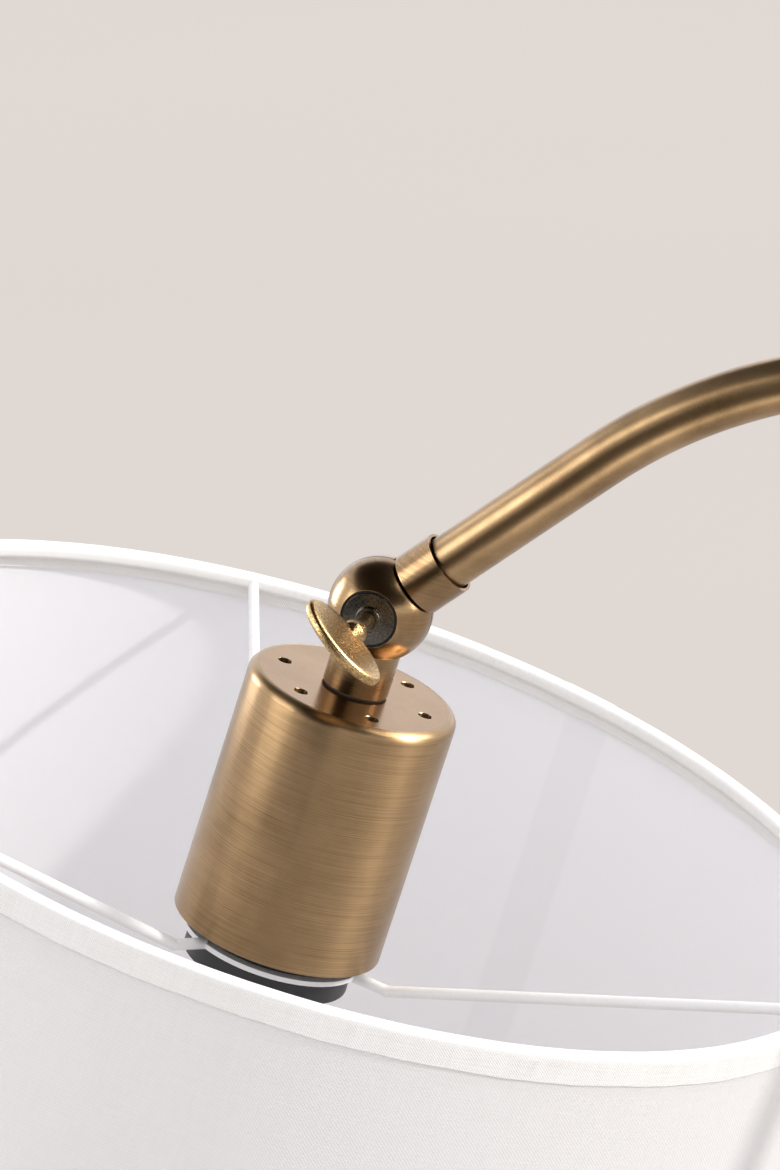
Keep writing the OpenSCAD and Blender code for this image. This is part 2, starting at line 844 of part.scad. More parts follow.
module centre_contact() {
    color(brass) at_head() {
        translate([-contact_l * HALF, -contact_w * HALF, block_bottom - contact_drop - contact_t])
            cube([contact_l, contact_w, contact_t]);
        translate([contact_l * HALF - contact_t, -contact_w * HALF, block_bottom - contact_drop - contact_t])
            cube([contact_t, contact_w, contact_drop + contact_t]);
    }
}

module screw_shell() {
    color(brass) at_head() tube(shell_bottom, shell_top - shell_bottom, shell_r + shell_wall, shell_r);
}

module shade_ring_nut() {
    color(black) at_head() tube(ring_nut_top - ring_nut_h, ring_nut_h, holder_r + ring_nut_over, holder_r + RUN_FIT);
}

// The sloping stretches of the spider's arms, which end in the top ring
module spider_slopes(r) {
    for (i = [0:SPIDER_ARMS - 1]) rotate([0, 0, spider_angle(i)])
        rod([spider_rise_r, 0, spider_z], [top_ring_r, 0, top_ring_z - SKIN], r);
}

module shade_spider() {
    color(white) at_head() {
        tube(fitter_top - fitter_t, fitter_t, holder_r + fitter_bore_gap + fitter_w, holder_r + fitter_bore_gap);
        for (i = [0:SPIDER_ARMS - 1]) rotate([0, 0, spider_angle(i)]) {
            rod([spider_inner_r + fitter_w * HALF - 1, 0, spider_z], [spider_rise_r, 0, spider_z], arm_wire_r);
            translate([spider_rise_r, 0, spider_z]) sphere(arm_wire_r + SKIN);
        }
        spider_slopes(arm_wire_r);
    }
}

// A wire ring of the shade
module wire_ring(r, z) {
    color(white) at_head() translate([0, 0, z]) rotate_extrude() translate([r, 0]) circle(ring_wire_r, $fn = 32);
}

module top_ring() {
    wire_ring(top_ring_r, top_ring_z);
}

module bottom_ring() {
    wire_ring(bottom_ring_r, bottom_ring_z);
}

module shade_fabric() {
    color(white) at_head() rotate_extrude() polygon([
        [shade_top_r - fabric_t, rim_z],
        [shade_top_r, rim_z],
        [shade_bottom_r, hem_z],
        [shade_bottom_r - fabric_t, hem_z]
    ]);
}

// Tape folded over a rim, in the head's frame: edge_z is the rim, and dir points to the shade's middle
module rim_tape(edge_z, dir) {
    far_z = edge_z + dir * tape_h;
    out_r = function(z) shade_r(z) + SKIN;
    in_r = function(z) shade_r(z) - tape_in;
    back_z = edge_z - dir * SKIN;
    top_z = back_z - dir * tape_t;
    rotate_extrude() polygon([
        [out_r(far_z), far_z],
        [out_r(far_z) + tape_t, far_z],
        [out_r(edge_z) + tape_t, top_z],
        [in_r(edge_z) - tape_t, top_z],
        [in_r(far_z) - tape_t, far_z],
        [in_r(far_z), far_z],
        [in_r(edge_z), back_z],
        [out_r(edge_z), back_z]
    ]);
}

module top_tape() {
    color(white) at_head() difference() {
        rim_tape(rim_z, -1);
        spider_slopes(arm_wire_r + GAP);
    }
}

module bottom_tape() {
    color(white) at_head() rim_tape(hem_z, 1);
}

module bulb_cap() {
    color(steel) at_head() {
        translate([0, 0, bulb_tip - 1]) cylinder(r = bulb_button_r, h = 1);
        translate([0, 0, bulb_tip - bulb_cap_l]) cylinder(r = bulb_cap_r, h = bulb_cap_l - bulb_skirt_l);
        translate([0, 0, bulb_tip - bulb_skirt_l])
            cylinder(r1 = bulb_cap_r, r2 = bulb_button_r, h = bulb_skirt_l - 1);
    }
}

// Outline of the bulb's glass, inset by the glass's thickness for its inside
function bulb_outline(inset) = concat(
    [[0, bulb_neck_z - inset], [bulb_neck_r - inset, bulb_neck_z - inset]],
    [[bulb_neck_r - inset, bulb_flare_z]],
    arc(0, bulb_centre, bulb_r - inset, 32, -90)
);

module bulb_glass() {
    color(glass) at_head() difference() {
        rotate_extrude() polygon(bulb_outline(0));
        rotate_extrude() polygon(bulb_outline(bulb_glass_t));
    }
}

floor_pad();
base_weight();
base_cover();
base_washer();
base_nut();
base_stud();
cord_gland();
earth_screw();
earth_tag();
base_lead();
pole_foot();
pole_plug();
lower_pole();
pole_coupler();
upper_pole();
pole_collar();
upper_glide();
height_pad();
height_screw();
inner_pole();
lower_glide();
swivel_socket();
swivel_washer();
swivel_retainer();
arm_ferrule();
arm_tube();
arm_lead();
knuckle_arm_half();
pivot_insert();
friction_washer();
knuckle_head_half();
clamp_disc();
thumb_screw();
stem_washer();
socket_cup();
cup_nipple();
cup_locknut();
head_lead();
lampholder_cap();
lampholder_body();
terminal_block();
terminal_screws();
centre_contact();
screw_shell();
shade_ring_nut();
shade_spider();
top_ring();
bottom_ring();
shade_fabric();
top_tape();
bottom_tape();
bulb_cap();
bulb_glass();
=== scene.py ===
"""Looks of the arc floor lamp, built round its fixed frame.

The frame holds the lamp's true parts. This script dresses each of them, and stands finer meshes in for some:
the arm tube, the socket cup, the clamp disc, both wing screws, and the fabric shade with its two tapes.
"""

import json
import logging
import math
from dataclasses import dataclass, field
from enum import Enum
from functools import cached_property
from typing import Callable, Iterable, Sequence

import bmesh
import bpy
from mathutils import Matrix, Vector


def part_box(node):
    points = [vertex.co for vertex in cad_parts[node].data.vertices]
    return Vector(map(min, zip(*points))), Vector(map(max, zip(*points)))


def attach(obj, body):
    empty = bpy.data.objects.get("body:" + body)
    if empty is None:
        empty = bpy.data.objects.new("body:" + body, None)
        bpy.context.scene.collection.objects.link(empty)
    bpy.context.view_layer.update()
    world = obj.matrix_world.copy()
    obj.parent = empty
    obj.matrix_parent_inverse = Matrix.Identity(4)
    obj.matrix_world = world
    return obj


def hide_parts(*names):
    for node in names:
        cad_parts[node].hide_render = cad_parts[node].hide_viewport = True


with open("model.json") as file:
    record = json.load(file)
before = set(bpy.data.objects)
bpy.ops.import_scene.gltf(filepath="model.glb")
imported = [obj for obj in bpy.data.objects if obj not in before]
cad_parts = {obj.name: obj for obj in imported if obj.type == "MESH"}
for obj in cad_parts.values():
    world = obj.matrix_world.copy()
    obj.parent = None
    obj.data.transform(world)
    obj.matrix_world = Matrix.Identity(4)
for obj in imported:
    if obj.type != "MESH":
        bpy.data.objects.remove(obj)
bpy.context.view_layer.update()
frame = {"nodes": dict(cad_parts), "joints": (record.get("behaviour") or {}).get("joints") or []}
LOG = logging.getLogger("arc_lamp")
MM = 0.001
UV_NAME = "UVMap"
SHARP_DEG = 32
SEAM_AT = math.radians(74.5)
SEAM_WIDTH = 15 * MM
Colour = tuple[float, float, float]
Profile = list[tuple[float, float]]
Socket = bpy.types.NodeSocket


class Grain(Enum):
    """Which way a metal's polishing marks run."""

    ROUND = "round the axis"
    CAST = "cast, with no direction"


@dataclass(frozen=True)
class Axis:
    """A straight axis of the lamp: its own frame has +Z along the axis and the origin on it."""

    origin: Vector
    up: Vector
    side: Vector

    @property
    def matrix(self) -> Matrix:
        """Works out this axis's own frame.

        Returns:
            The matrix from it to the lamp's frame.
        """
        across = self.up.cross(self.side).normalized()
        turn = Matrix((self.side, across, self.up)).transposed().to_4x4()
        return Matrix.Translation(self.origin) @ turn

    def reach(self, node: str) -> tuple[float, float, float]:
        """Measures a node of the frame along and around this axis.

        Args:
            node: Name of the node in the frame.

        Returns:
            Its lowest place along the axis, its highest, and its largest radius.
        """
        inverse = self.matrix.inverted()
        points = [inverse @ v.co for v in frame["nodes"][node].data.vertices]
        return (
            min(p.z for p in points),
            max(p.z for p in points),
            max(math.hypot(p.x, p.y) for p in points),
        )


def joint(name: str) -> dict:
    """The frame's joint of that name."""
    return next(j for j in frame["joints"] if j["name"] == name)


def lamp_axes() -> dict[str, Axis]:
    """Finds the lamp's axes from its joints.

    Returns:
        The axes of the pole, the head, the pivot and the height screw, by name.
    """
    ball = Vector(joint("head_tilt")["pos_m"])
    up = -Vector(joint("bulb_out")["axis"]).normalized()
    front = Vector((0, -1, 0))
    height = Vector(joint("height_screw_turn")["pos_m"])
    return {
        "pole": Axis(Vector((0, 0, 0)), Vector((0, 0, 1)), Vector((1, 0, 0))),
        "head": Axis(ball, up, Vector((up.z, 0, -up.x))),
        "pivot": Axis(ball, front, Vector((1, 0, 0))),
        "height_screw": Axis(height, front, Vector((1, 0, 0))),
    }


AXES = lamp_axes()


class Graph:
    """A material's node tree, with short calls for the nodes that the finishes share."""

    def __init__(self, name: str) -> None:
        """Starts an empty material with a Principled shader.

        Args:
            name: Name of the material.
        """
        self.material = bpy.data.materials.new(name)
        self.material.use_nodes = True
        self.tree = self.material.node_tree
        self.shader = self.tree.nodes["Principled BSDF"]
        self.output = self.tree.nodes["Material Output"]

    def add(self, kind: str, **settings: object) -> bpy.types.Node:
        """Adds a node.

        Args:
            kind: The node's type, without "ShaderNode".
            **settings: Its own settings, or for inputs their names in lower case.

        Returns:
            The new node.
        """
        node = self.tree.nodes.new("ShaderNode" + kind)
        inputs = {s.name.lower().replace(" ", "_"): s for s in reversed(node.inputs)}
        for key, value in settings.items():
            if key not in inputs:
                setattr(node, key, value)
            elif isinstance(value, Socket):
                self.tree.links.new(value, inputs[key])
            else:
                inputs[key].default_value = value
        return node

    def link(self, source: Socket, target: Socket) -> None:
        """Joins two sockets."""
        self.tree.links.new(source, target)

    def set(self, **values: object) -> None:
        """Sets the shader's inputs.

        Args:
            **values: Numbers, colours or sockets, by the inputs' names in lower case.
        """
        inputs = {s.name.lower().replace(" ", "_"): s for s in self.shader.inputs}
        for key, value in values.items():
            if isinstance(value, Socket):
                self.link(value, inputs[key])
            elif isinstance(value, tuple) and len(value) == 3:
                inputs[key].default_value = (*value, 1)
            else:
                inputs[key].default_value = value

    def place(self, axis: Axis | None = None, stretch: Sequence[float] = (1, 1, 1)) -> Socket:
        """The point on the piece, in an axis's own frame, stretched for a pattern.

        Args:
            axis: The axis, or None for the lamp's frame.
            stretch: Pattern repeats per metre along each direction.

        Returns:
            The vector socket.
        """
        point = self.add("TexCoord").outputs["Object"]
        if axis is not None:
            turn = axis.matrix.to_euler()
            point = self.add(
                "Mapping", vector_type="TEXTURE", vector=point, location=axis.origin, rotation=turn
            ).outputs[0]
        return self.add("Mapping", vector=point, scale=stretch).outputs[0]

    def noise(self, point: Socket, detail: float = 3, roughness: float = 0.5) -> Socket:
        """Even noise at an already stretched point."""
        node = self.add("TexNoise", vector=point, scale=1.0, detail=detail, roughness=roughness)
        return node.outputs[0]

    def ramp(
        self, value: Socket, low: float, high: float, out: tuple[float, float] = (0, 1)
    ) -> Socket:
        """Maps a value from low..high to an output range, clamped."""
        node = self.add("MapRange", value=value, from_min=low, from_max=high, to_min=out[0], to_max=out[1])
        return node.outputs[0]

    def math(self, what: str, a: object, b: object = 0.0) -> Socket:
        """One sum on sockets or numbers.

        Args:
            what: The operation.
            a: The first socket or number.
            b: The second.

        Returns:
            The result's socket.
        """
        node = self.add("Math", operation=what)
        for socket, value in zip(node.inputs, (a, b)):
            if isinstance(value, Socket):
                self.link(value, socket)
            else:
                socket.default_value = value
        return node.outputs[0]

    def mix(self, share: Socket, a: object, b: object) -> Socket:
        """Blends two colours.

        Args:
            share: How much of the second.
            a: The first colour or its socket.
            b: The second.

        Returns:
            The blend's socket.
        """
        node = self.add("Mix", data_type="RGBA")
        for socket, value in zip((node.inputs[0], node.inputs[6], node.inputs[7]), (share, a, b)):
            if isinstance(value, Socket):
                self.link(value, socket)
            else:
                socket.default_value = (*value, 1)
        return node.outputs[2]

    def bump(self, height: Socket, depth: float, under: Socket | None = None) -> Socket:
        """Raises a normal by a height.

        Args:
            height: The height's socket, from 0 to 1.
            depth: Depth of the relief in metres.
            under: A normal to raise it from, or None for the surface's own.

        Returns:
            The normal's socket.
        """
        node = self.add("Bump", height=height, distance=depth)
        if under is not None:
            self.link(under, node.inputs["Normal"])
        return node.outputs[0]


@dataclass(frozen=True)
class Brass:
    """Antique brass: brushed or cast, with patina in its marks and bright worn edges."""

    name: str
    axis: Axis | None = None
    grain: Grain = Grain.ROUND
    bright: Colour = (0.47, 0.315, 0.165)
    patina: Colour = (0.20, 0.125, 0.058)
    roughness: float = 0.3
    anisotropy: float = 0.0
    by_uv: bool = False
    marks: float = 1600
    drift: float = 7
    streaks: float = 0.55
    pitting: float = 0.012 * MM
    smooth: bool = False
    edge: float = 0.25 * MM

    def material(self) -> bpy.types.Material:
        """Builds the finish.

        Returns:
            The material.
        """
        g = Graph(self.name)
        marks, fine = self.brush_marks(g)
        smear = g.noise(g.place(self.axis, (38, 38, 38)), 4, 0.6)
        streaked = g.math("MULTIPLY", marks, self.streaks)
        tone = g.math("ADD", streaked, g.math("MULTIPLY", smear, 1.3 - self.streaks))
        share = g.ramp(tone, 0.42, 0.92)
        worn = self.worn_edges(g)
        colour = g.mix(share, self.patina, self.bright)
        pale = tuple(min(1.0, c * 1.25 + 0.05) for c in self.bright)
        g.set(
            base_color=g.mix(worn, colour, pale),
            metallic=1.0,
            roughness=g.ramp(tone, 0.3, 1.0, (self.roughness + 0.07, self.roughness - 0.06)),
            normal=g.bump(g.math("ADD", marks, fine), self.pitting),
            coat_weight=0.12,
            coat_roughness=0.18,
            anisotropic=self.anisotropy,
        )
        if self.anisotropy:
            g.set(
                tangent=g.add("Tangent", direction_type="UV_MAP", uv_map=UV_NAME).outputs[0],
                anisotropic_rotation=0.25,
            )
        return g.material

    def brush_marks(self, g: Graph) -> tuple[Socket, Socket]:
        """Makes the polishing marks, coarse and fine.

        Args:
            g: The material's graph.

        Returns:
            The height of the coarse marks, and of the fine ones.
        """
        if self.grain is Grain.CAST:
            speckle = g.noise(g.place(self.axis, (2300, 2300, 2300)), 4, 0.7)
            pits = g.noise(g.place(self.axis, (1500, 1500, 1500)), 3, 0.7)
            return (speckle, pits) if self.smooth else (g.ramp(speckle, 0.36, 0.62), pits)
        if self.by_uv:
            point = g.add("UVMap", uv_map=UV_NAME).outputs[0]
            coarse = g.add("Mapping", vector=point, scale=(self.drift, self.marks, 1)).outputs[0]
            narrow = g.add("Mapping", vector=point, scale=(self.drift * 5, self.marks * 3.1, 1)).outputs[0]
            return g.noise(coarse, 4, 0.62), g.noise(narrow, 2, 0.6)
        across = (self.drift, self.drift, self.marks)
        thin = (self.drift * 5, self.drift * 5, self.marks * 3.1)
        return g.noise(g.place(self.axis, across), 4, 0.62), g.noise(g.place(self.axis, thin), 2, 0.6)

    def worn_edges(self, g: Graph) -> Socket:
        """A mask of the edges where the patina is rubbed off.

        Args:
            g: The material's graph.

        Returns:
            The mask, 1 on an edge.
        """
        soft = g.add("Bevel", samples=4, radius=self.edge).outputs[0]
        flat = g.add("NewGeometry").outputs["Normal"]
        turn = g.add("VectorMath", operation="DOT_PRODUCT")
        g.link(soft, turn.inputs[0])
        g.link(flat, turn.inputs[1])
        rubbed = g.ramp(turn.outputs["Value"], 0.995, 0.93)
        return g.math("MULTIPLY", rubbed, g.ramp(g.noise(g.place(None, (220, 220, 220))), 0.35, 0.6))


@dataclass(frozen=True)
class Plain:
    """A plain hard or soft finish with speckle, a little unevenness and fine bumps."""

    name: str
    colour: Colour
    second: Colour
    metallic: float = 0.0
    roughness: float = 0.5
    grain: float = 900
    depth: float = 0.02 * MM
    sheen: float = 0.0
    coat: float = 0.0

    def material(self) -> bpy.types.Material:
        """Builds the finish.

        Returns:
            The material.
        """
        g = Graph(self.name)
        fine = g.noise(g.place(None, (self.grain,) * 3), 4, 0.6)
        broad = g.noise(g.place(None, (60, 60, 60)), 3)
        tone = g.math("ADD", g.math("MULTIPLY", fine, 0.5), g.math("MULTIPLY", broad, 0.5))
        g.set(
            base_color=g.mix(g.ramp(tone, 0.35, 0.65), self.colour, self.second),
            metallic=self.metallic,
            roughness=g.ramp(fine, 0.3, 0.7, (self.roughness - 0.05, self.roughness + 0.07)),
            normal=g.bump(fine, self.depth),
            sheen_weight=self.sheen,
            coat_weight=self.coat,
        )
        return g.material


@dataclass(frozen=True)
class Cloth:
    """White cloth on a drum: plain weave that follows the drum round, and lets light through."""

    name: str
    colour: Colour = (0.86, 0.85, 0.84)
    shaded: Colour = (0.76, 0.75, 0.735)
    radius: float = 0.168
    thread: float = 0.55 * MM
    depth: float = 0.05 * MM
    through: float = 0.3
    slub: float = 0.35
    # Painted shade: how much darker the seam's band is made, standing in for the light that the doubled
    # cloth holds back
    seam_shade_dim: float = 0.93

    def material(self) -> bpy.types.Material:
        """Builds the cloth.

        Returns:
            The material.
        """
        g = Graph(self.name)
        parts = g.add("SeparateXYZ", vector=g.place(AXES["head"])).outputs
        turn = g.math("ARCTAN2", parts[1], parts[0])
        around = g.math("MULTIPLY", turn, self.radius)
        warp = self.threads(g, around)
        weft = self.threads(g, parts[2])
        weave = g.math("MULTIPLY", warp, weft)
        point = g.add("CombineXYZ", x=around, y=parts[2]).outputs[0]
        slubs = self.slubs(g, point)
        tone = g.math("ADD", g.math("MULTIPLY", weave, 0.5), slubs)
        cloth = g.mix(g.ramp(tone, -0.35, 0.75), self.shaded, self.colour)
        # Painted shade: the band along the seam is darkened for the light that the doubled cloth holds back
        seam_shade_colour = tuple(c * self.seam_shade_dim for c in self.colour)
        off = g.math("ABSOLUTE", g.math("SUBTRACT", around, SEAM_AT * self.radius))
        lap = g.ramp(off, SEAM_WIDTH * 0.56, SEAM_WIDTH * 0.46)
        g.set(
            base_color=g.mix(lap, cloth, seam_shade_colour),
            roughness=0.85,
            sheen_weight=0.12,
            normal=g.bump(tone, self.depth),
        )
        if self.through:
            glow = g.add("BsdfTranslucent", color=(*self.colour, 1))
            both = g.add("MixShader")
            both.inputs[0].default_value = self.through
            g.link(g.shader.outputs[0], both.inputs[1])
            g.link(glow.outputs[0], both.inputs[2])
            g.link(both.outputs[0], g.output.inputs[0])
        return g.material

    def threads(self, g: Graph, along: Socket) -> Socket:
        """A wave with one crest for each thread along a direction."""
        return g.math("SINE", g.math("MULTIPLY", along, math.tau / (2 * self.thread)))

    def slubs(self, g: Graph, point: Socket) -> Socket:
        """Makes thick and thin stretches of yarn, both ways.

        Args:
            g: The material's graph.
            point: The point on the cloth, round and up.

        Returns:
            The slubs' socket.
        """
        both = []
        for stretch in ((60, 1500, 1), (1500, 60, 1)):
            placed = g.add("Mapping", vector=point, scale=stretch).outputs[0]
            both.append(g.math("SUBTRACT", g.noise(placed, 2), 0.5))
        return g.math("MULTIPLY", g.math("ADD", *both), self.slub * 2)


class Finishes:
    """Every finish of the lamp, made once."""

    def __init__(self) -> None:
        """Makes the materials."""
        pole, head = AXES["pole"], AXES["head"]
        plain = (
            Plain("bronze_dark", (0.06, 0.055, 0.045), (0.15, 0.135, 0.11), 1, 0.24, 3000),
            Plain("blackened", (0.008, 0.007, 0.006), (0.014, 0.012, 0.01), 0.4, 0.5, 3000),
            Plain("iron", (0.03, 0.03, 0.032), (0.06, 0.06, 0.062), 0.6, 0.7, 500, 0.3 * MM),
            Plain("steel", (0.50, 0.50, 0.50), (0.64, 0.63, 0.61), 1, 0.32, 1200),
            Plain("nylon", (0.72, 0.69, 0.62), (0.80, 0.77, 0.71), 0, 0.5, 700),
            Plain("black_plastic", (0.012, 0.012, 0.013), (0.02, 0.02, 0.021),
                  0, 0.42, 1800),
            Plain("cable_jacket", (0.013, 0.013, 0.013), (0.022, 0.022, 0.022),
                  0, 0.55, 900),
            # Painted shade: this near-black finish on the stem washer stands in for the shadow line in the
            # gap between stem and cup
            Plain("rubber_black", (0.045, 0.028, 0.016), (0.07, 0.045, 0.026), 0, 0.8, 900),
            Plain("ceramic", (0.74, 0.71, 0.63), (0.82, 0.80, 0.74), 0, 0.55, 1400),
            Plain("white_wire", (0.74, 0.735, 0.72), (0.80, 0.79, 0.78), 0, 0.38, 800,
                  coat=0.3),
            Plain("felt", (0.018, 0.018, 0.019), (0.05, 0.05, 0.052), 0, 0.95, 1600, 0.4 * MM, 0.4),
        )
        brasses = {
            "pole": Brass("brass_pole", pole, roughness=0.3, marks=1500, streaks=0.95),
            "turned_pole": Brass("brass_turned_pole", pole, roughness=0.26, marks=2200, streaks=0.85),
            "spun_base": Brass("brass_spun_base", pole, roughness=0.34, marks=700, drift=12, streaks=0.95),
            "arm": Brass("brass_arm", None, roughness=0.31, anisotropy=0.6, by_uv=True, marks=2600,
                         drift=900, streaks=0.3),
            "knuckle": Brass("brass_knuckle", head, bright=(0.40, 0.262, 0.132), patina=(0.15, 0.09, 0.042),
                             roughness=0.24, marks=2200, drift=60, streaks=0.4),
            "cup": Brass("brass_cup", head, roughness=0.33, anisotropy=0.85, by_uv=True, marks=3600,
                         drift=26, streaks=0.75),
            "cup_top": Brass("brass_cup_top", head, roughness=0.17, grain=Grain.CAST,
                             bright=(0.37, 0.235, 0.12), patina=(0.27, 0.16, 0.078),
                             smooth=True),
            "cast": Brass("brass_cast", None, Grain.CAST, (0.62, 0.43, 0.20), (0.20, 0.115, 0.045), 0.28,
                          streaks=0.8, pitting=0.016 * MM),
            "electrical": Brass("brass_electrical", head, bright=(0.78, 0.58, 0.28), roughness=0.22),
        }
        plains = {finish.name: finish for finish in plain}
        self.made = {key: finish.material() for key, finish in (plains | brasses).items()}
        self.made["cloth"] = Cloth("shade_cloth").material()
        self.made["lining"] = Cloth("shade_lining", (0.905, 0.905, 0.93), (0.875, 0.875, 0.90),
                                    depth=0.012 * MM, slub=0.15, through=0.3).material()
        self.made["tape"] = Cloth("rim_tape", (0.93, 0.92, 0.90), (0.83, 0.82, 0.80),
                                  thread=0.42 * MM, depth=0.09 * MM, through=0.12, slub=0.5).material()
        self.made["opal"] = self.opal_glass()

    @staticmethod
    def opal_glass() -> bpy.types.Material:
        """Builds the bulb's matt white glass.

        Returns:
            The material.
        """
        g = Graph("opal_glass")
        cloudy = g.noise(g.place(AXES["head"], (90, 90, 90)), 3)
        g.set(
            base_color=g.mix(g.ramp(cloudy, 0.3, 0.7), (0.84, 0.83, 0.80), (0.90, 0.89, 0.86)),
            roughness=0.22,
            normal=g.bump(cloudy, 0.03 * MM),
            coat_weight=0.4,
        )
        return g.material

    def dress(self, piece: bpy.types.Object, *keys: str) -> None:
        """Puts finishes on a piece's material slots.

        Args:
            piece: The piece.
            *keys: One finish for each slot.
        """
        mesh = piece.data
        while len(mesh.materials) < len(keys):
            mesh.materials.append(None)
        for i, key in enumerate(keys):
            mesh.materials[i] = self.made[key]


def rounded(corners: Iterable[Sequence[float]], steps: int = 6) -> Profile:
    """Rounds the corners of an open outline.

    Args:
        corners: Points (r, z), each with a rounding radius as an optional third number.
        steps: Points on each rounded corner.

    Returns:
        The outline's points.
    """
    points = [tuple(c) + (0.0,) * (3 - len(c)) for c in corners]
    outline: Profile = []
    for i, (r, z, fillet) in enumerate(points):
        here = Vector((r, z))
        if fillet <= 0 or i in (0, len(points) - 1):
            outline.append((r, z))
            continue
        to_last = (Vector(points[i - 1][:2]) - here).normalized()
        to_next = (Vector(points[i + 1][:2]) - here).normalized()
        half = to_last.angle(to_next) / 2
        centre = here + (to_last + to_next).normalized() * (fillet / math.sin(half))
        start = here + to_last * (fillet / math.tan(half)) - centre
        end = here + to_next * (fillet / math.tan(half)) - centre
        for k in range(steps + 1):
            spoke = start.normalized().slerp(end.normalized(), k / steps) * fillet
            outline.append((centre.x + spoke.x, centre.y + spoke.y))
    return outline


def finish_mesh(name: str, bm: bmesh.types.BMesh, sharp_deg: float = SHARP_DEG) -> bpy.types.Object:
    """Turns a bmesh into a piece with smooth faces and sharp edges.

    Args:
        name: Name of the piece.
        bm: The mesh, which is freed.
        sharp_deg: Edges bent by more than this stay sharp.

    Returns:
        The new object, in the scene.
    """
    mesh = bpy.data.meshes.new(name)
    bm.to_mesh(mesh)
    bm.free()
    mesh.polygons.foreach_set("use_smooth", [True] * len(mesh.polygons))
    mesh.set_sharp_from_angle(angle=math.radians(sharp_deg))
    piece = bpy.data.objects.new(name, mesh)
    bpy.context.scene.collection.objects.link(piece)
    return piece


def grid_faces(
    bm: bmesh.types.BMesh, rings: list[list], along: list[float], around: float, loop: bool
) -> None:
    """Joins rings of vertices with faces that carry a map in metres: round in u and along in v.

    Args:
        bm: The mesh.
        rings: Rings of vertices, all of one count.
        along: Distance along the piece at each ring.
        around: Length of a ring.
        loop: Whether the last ring joins the first.
    """
    uv = bm.loops.layers.uv.get(UV_NAME) or bm.loops.layers.uv.new(UV_NAME)
    count = len(rings[0])
    pairs = [(i, i + 1) for i in range(len(rings) - 1)]
    if loop:
        pairs.append((len(rings) - 1, 0))
    for a, b in pairs:
        end = along[b] if b > a else along[a] + (rings[a][0].co - rings[b][0].co).length
        for k in range(count):
            n = (k + 1) % count
            face = bm.faces.new((rings[a][k], rings[a][n], rings[b][n], rings[b][k]))
            places = ((k, along[a]), (k + 1, along[a]), (k + 1, end), (k, end))
            for corner, (step, v) in zip(face.loops, places):
                corner[uv].uv = (around * step / count, v)


def lathe(
    name: str,
    profile: Profile,
    axis: Axis,
    count: int = 192,
    loop: bool = True,
    shift: Callable[[float, float, float], tuple[float, float]] | None = None,
) -> bpy.types.Object:
    """Turns an outline round an axis.

    Args:
        name: Name of the piece.
        profile: The outline's points (r, z).
        axis: The axis to turn round.
        count: Steps round.
        loop: Whether the outline closes on itself.
        shift: Moves a point (r, z) at an angle, for shapes that aren't quite round.

    Returns:
        The piece.
    """
    bm = bmesh.new()
    to_lamp = axis.matrix
    rings, along, length = [], [], 0.0
    for i, (r, z) in enumerate(profile):
        if i:
            length += math.dist(profile[i - 1], (r, z))
        along.append(length)
        ring = []
        for k in range(count):
            angle = math.tau * k / count
            rr, zz = shift(r, z, angle) if shift else (r, z)
            point = Vector((rr * math.cos(angle), rr * math.sin(angle), zz))
            ring.append(bm.verts.new(to_lamp @ point))
        rings.append(ring)
    grid_faces(bm, rings, along, math.tau * max(r for r, _ in profile), loop)
    bmesh.ops.remove_doubles(bm, verts=bm.verts, dist=1e-7)
    bmesh.ops.recalc_face_normals(bm, faces=bm.faces)
    return finish_mesh(name, bm)


def sweep(name: str, path: list[Vector], radius: float, normal: Vector, count: int = 72) -> bpy.types.Object:
    """Runs a round section along a path that lies in one plane.

    Args:
        name: Name of the piece.
        path: Points of the centre line.
        radius: Radius of the section.
        normal: Normal of the plane that holds the path.
        count: Steps round the section.

    Returns:
        The piece, closed at both ends.
    """
    bm = bmesh.new()
    rings, along, length = [], [], 0.0
    for i, point in enumerate(path):
        ahead = (path[min(i + 1, len(path) - 1)] - path[max(i - 1, 0)]).normalized()
        out = ahead.cross(normal).normalized()
        if i:
            length += (point - path[i - 1]).length
        along.append(length)
        ring = []
        for k in range(count):
            angle = math.tau * k / count
            ring.append(bm.verts.new(point + radius * (math.cos(angle) * out + math.sin(angle) * normal)))
        rings.append(ring)
    grid_faces(bm, rings, along, math.tau * radius, False)
    bm.faces.new(rings[0])
    bm.faces.new(reversed(rings[-1]))
    bmesh.ops.recalc_face_normals(bm, faces=bm.faces)
    return finish_mesh(name, bm)


def boolean(piece: bpy.types.Object, tool: bpy.types.Object, what: str = "DIFFERENCE") -> None:
    """Cuts a piece with a tool, or joins them, and removes the tool.

    Args:
        piece: The piece to change.
        tool: The other solid.
        what: DIFFERENCE or UNION.
    """
    change = piece.modifiers.new("cut", "BOOLEAN")
    change.operation = what
    change.solver = "EXACT"
    change.object = tool
    graph = bpy.context.evaluated_depsgraph_get()
    mesh = bpy.data.meshes.new_from_object(piece.evaluated_get(graph))
    piece.modifiers.clear()
    piece.data = mesh
    bpy.data.objects.remove(tool)
    mesh.polygons.foreach_set("use_smooth", [True] * len(mesh.polygons))
    mesh.set_sharp_from_angle(angle=math.radians(SHARP_DEG))


def stand_in(piece: bpy.types.Object, body: str, slot: str, *nodes: str) -> None:
    """Lets a piece ride on a body in the place of nodes.

    Args:
        piece: The piece.
        body: The body that it moves with.
        slot: The record's material slot for it; not used.
        *nodes: The nodes that it replaces.
    """
    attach(piece, body)
    if nodes:
        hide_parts(*nodes)
    LOG.info("%s rides on %s: %d faces", piece.name, body, len(piece.data.polygons))


